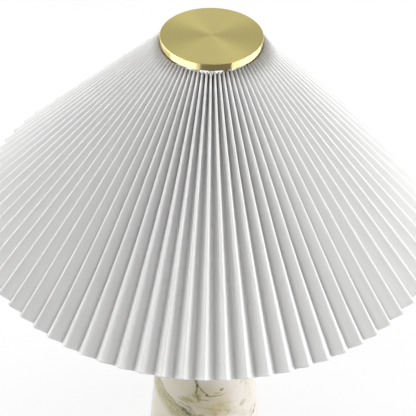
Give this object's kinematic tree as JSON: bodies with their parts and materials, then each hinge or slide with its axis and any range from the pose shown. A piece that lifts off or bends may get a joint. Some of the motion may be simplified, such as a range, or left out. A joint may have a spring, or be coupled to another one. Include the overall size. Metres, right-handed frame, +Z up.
{
  "type": "table lamp",
  "caption": "Table lamp with a tapered marble column, an accordion-pleated white cone shade on a harp, and a round brushed brass plate that screws down on the shade.",
  "frame": {"origin": "centre of the felt's underside, where the column's axis meets the surface that the lamp stands on", "axes": "+Z up along the column's axis, -Y towards the front and the switch knob, +X to the right seen from the front"},
  "size_m": [0.458, 0.4579, 0.54],
  "materials": {
    "felt": "dense felt",
    "marble": "polished",
    "zinc_steel": "zinc plated",
    "nickel_steel": "nickel plated",
    "brass": "turned",
    "brushed_brass": "circular brushed",
    "holder_brass": "spun and lacquered",
    "bushing_plastic": "moulded",
    "fibre": "vulcanised fibre",
    "phenolic": "moulded",
    "aluminium_shell": "rolled",
    "nickel_cap": "rolled",
    "solder": "dull",
    "black_glass": "opaque",
    "opal_glass": "frosted",
    "clear_glass": "clear",
    "emitter": "phosphor",
    "white_wire": "powder coated",
    "pleated_cloth": "stiffened plain weave",
    "nylon": "natural"
  },
  "bodies": {
    "lamp_base": {"felt_pad": "felt", "marble_column": "marble", "threaded_rod": "zinc_steel", "bottom_washer": "zinc_steel", "lock_washer": "zinc_steel", "bottom_nut": "zinc_steel", "cap_nut": "brass", "column_cap": "brass", "cord_bushing": "bushing_plastic", "harp_saddle": "nickel_steel", "socket_cap": "holder_brass", "socket_shell": "holder_brass", "socket_liner": "fibre", "socket_insulator": "phenolic", "terminal_screws": "brass", "screw_shell": "aluminium_shell", "centre_contact": "brass"},
    "switch": {"switch_spindle": "nickel_steel", "switch_knob": "phenolic"},
    "bulb_button": {"bulb_button": "solder"},
    "bulb": {"bulb_insulator": "black_glass", "bulb_cap": "nickel_cap", "bulb_glass": "opal_glass", "bulb_stem": "clear_glass", "bulb_filament": "emitter"},
    "harp": {"harp": "nickel_steel"},
    "ferrule_left": {"ferrule_left": "brass"},
    "ferrule_right": {"ferrule_right": "brass"},
    "harp_stud": {"harp_stud": "brass"},
    "shade": {"spider_hub": "white_wire", "spider_arms": "white_wire", "top_ring": "white_wire", "bottom_ring": "white_wire", "shade_struts": "white_wire", "shade_skin": "pleated_cloth"},
    "plate_washer": {"plate_washer": "nylon"},
    "plate": {"plate_boss": "brass", "top_plate": "brushed_brass"}
  },
  "joints": [
    {"name": "switch_turn", "type": "hinge", "parent": "lamp_base", "child": "switch", "pos_m": [0, -0.025, 0.377], "axis": [0, -1, 0], "continuous": true},
    {"name": "bulb_rise", "type": "slide", "parent": "lamp_base", "child": "bulb_button", "axis": [0, 0, 1], "range_m": [0, 0.0146]},
    {"name": "bulb_unscrew", "type": "hinge", "parent": "bulb_button", "child": "bulb", "pos_m": [0, 0, 0.4], "axis": [0, 0, 1], "range_deg": [0, 1440]},
    {"name": "harp_lift", "type": "slide", "parent": "lamp_base", "child": "harp", "axis": [0, 0, 1], "range_m": [0, 0.015]},
    {"name": "ferrule_left_slide", "type": "slide", "parent": "harp", "child": "ferrule_left", "axis": [0, 0, 1], "range_m": [0, 0.012]},
    {"name": "ferrule_right_slide", "type": "slide", "parent": "harp", "child": "ferrule_right", "axis": [0, 0, 1], "range_m": [0, 0.012]},
    {"name": "shade_swivel", "type": "hinge", "parent": "harp", "child": "harp_stud", "pos_m": [0, 0, 0.514], "axis": [0, 0, 1], "continuous": true},
    {"name": "shade_lift", "type": "slide", "parent": "harp_stud", "child": "shade", "axis": [0, 0, 1], "range_m": [0, 0.03]},
    {"name": "plate_rise", "type": "slide", "parent": "shade", "child": "plate_washer", "axis": [0, 0, 1], "range_m": [0, 0.0086]},
    {"name": "plate_unscrew", "type": "hinge", "parent": "plate_washer", "child": "plate", "pos_m": [0, 0, 0.53], "axis": [0, 0, 1], "range_deg": [0, 3240]}
  ],
  "couplings": [
    {"joint": "bulb_rise", "follows": "bulb_unscrew", "m_per_rad": 0.00057751},
    {"joint": "plate_rise", "follows": "plate_unscrew", "m_per_rad": 0.00014972}
  ]
}
